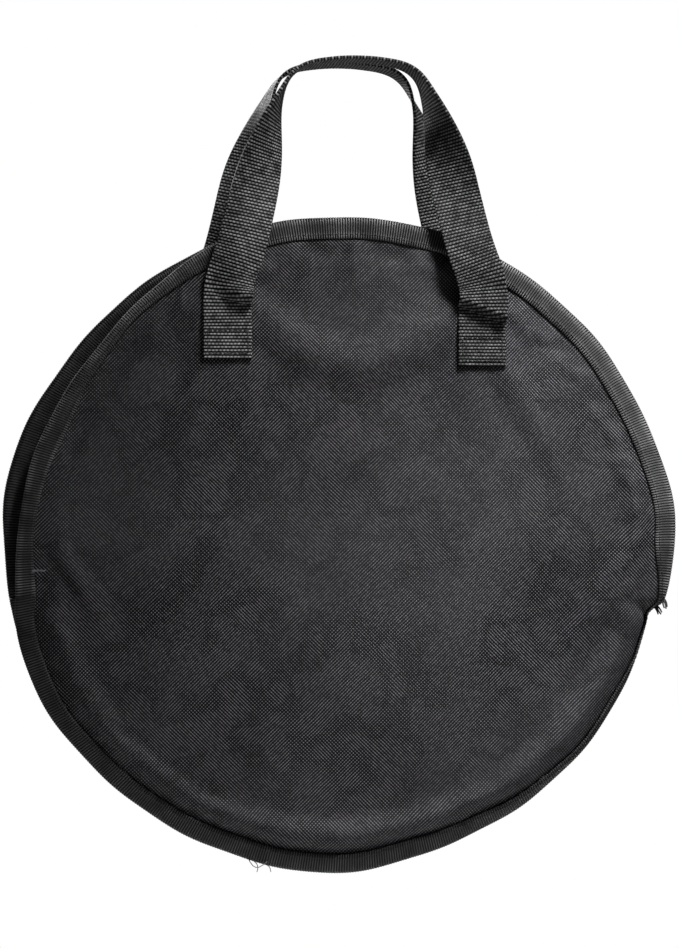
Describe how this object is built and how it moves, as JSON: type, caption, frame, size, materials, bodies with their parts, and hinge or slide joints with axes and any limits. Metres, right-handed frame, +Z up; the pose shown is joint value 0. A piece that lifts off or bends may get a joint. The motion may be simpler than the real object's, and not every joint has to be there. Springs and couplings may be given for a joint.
{
  "type": "handpan carry bag",
  "caption": "Round flat padded soft bag with a zip along its upper edge and two webbing carrying handles, for a handpan or tongue drum.",
  "frame": {"origin": "the grip: between the two handles, at the underside of their tops", "axes": "+Z up, -Y out of the front panel, +X to the right as seen from the front"},
  "size_m": [0.4, 0.0646, 0.4961],
  "materials": {
    "outer_fabric": "coated 600-denier oxford weave, satin",
    "foam": "closed-cell foam padding",
    "lining": "thin plain-weave lining",
    "binding": "ribbed grosgrain tape",
    "zip_tape": "woven zip tape",
    "zip_coil": "moulded nylon coil",
    "zip_metal": "black enamelled zinc",
    "webbing": "basket-woven polypropylene webbing",
    "thread": "polyester sewing thread"
  },
  "bodies": {
    "bag": {"rear_outer_fabric": "outer_fabric", "rear_foam": "foam", "rear_lining": "lining", "front_lower_outer_fabric": "outer_fabric", "front_lower_foam": "foam", "front_lower_lining": "lining", "lower_binding": "binding", "rear_binding": "binding", "rear_zip_tape": "zip_tape", "rear_zip_coil": "zip_coil", "left_zip_tack": "thread", "right_zip_tack": "thread", "rear_left_sewn_end": "webbing", "rear_right_sewn_end": "webbing", "rear_left_box_stitch": "thread", "rear_right_box_stitch": "thread"},
    "flap": {"front_flap_outer_fabric": "outer_fabric", "front_flap_foam": "foam", "front_flap_lining": "lining", "front_binding": "binding", "front_zip_tape": "zip_tape", "front_zip_coil": "zip_coil", "front_left_sewn_end": "webbing", "front_right_sewn_end": "webbing", "front_left_box_stitch": "thread", "front_right_box_stitch": "thread"},
    "front_handle": {"front_handle": "webbing"},
    "rear_handle": {"rear_handle": "webbing"},
    "left_slider": {"left_zip_slider": "zip_metal"},
    "left_pull": {"left_zip_pull": "zip_metal"},
    "right_slider": {"right_zip_slider": "zip_metal"},
    "right_pull": {"right_zip_pull": "zip_metal"}
  },
  "joints": [
    {"name": "flap_fold", "type": "hinge", "parent": "bag", "child": "flap", "pos_m": [-0.006, -0.0238, -0.32529], "axis": [1, 0, 0], "range_deg": [0, 120]},
    {"name": "front_handle_swing", "type": "hinge", "parent": "flap", "child": "front_handle", "pos_m": [0, -0.0211, -0.14285], "axis": [1, 0, 0], "range_deg": [0, 170]},
    {"name": "rear_handle_swing", "type": "hinge", "parent": "bag", "child": "rear_handle", "pos_m": [0, 0.0211, -0.14285], "axis": [-1, 0, 0], "range_deg": [0, 170]},
    {"name": "left_zip_travel", "type": "hinge", "parent": "bag", "child": "left_slider", "pos_m": [-0.006, 0, -0.294], "axis": [0, -1, 0], "range_deg": [0, 88]},
    {"name": "right_zip_travel", "type": "hinge", "parent": "bag", "child": "right_slider", "pos_m": [-0.006, 0, -0.294], "axis": [0, 1, 0], "range_deg": [0, 88]},
    {"name": "left_pull_swing", "type": "hinge", "parent": "left_slider", "child": "left_pull", "pos_m": [-0.01383, 0, -0.10321], "axis": [0, 1, 0], "range_deg": [0, 90]},
    {"name": "right_pull_swing", "type": "hinge", "parent": "right_slider", "child": "right_pull", "pos_m": [0.00183, 0, -0.10321], "axis": [0, -1, 0], "range_deg": [0, 90]}
  ]
}
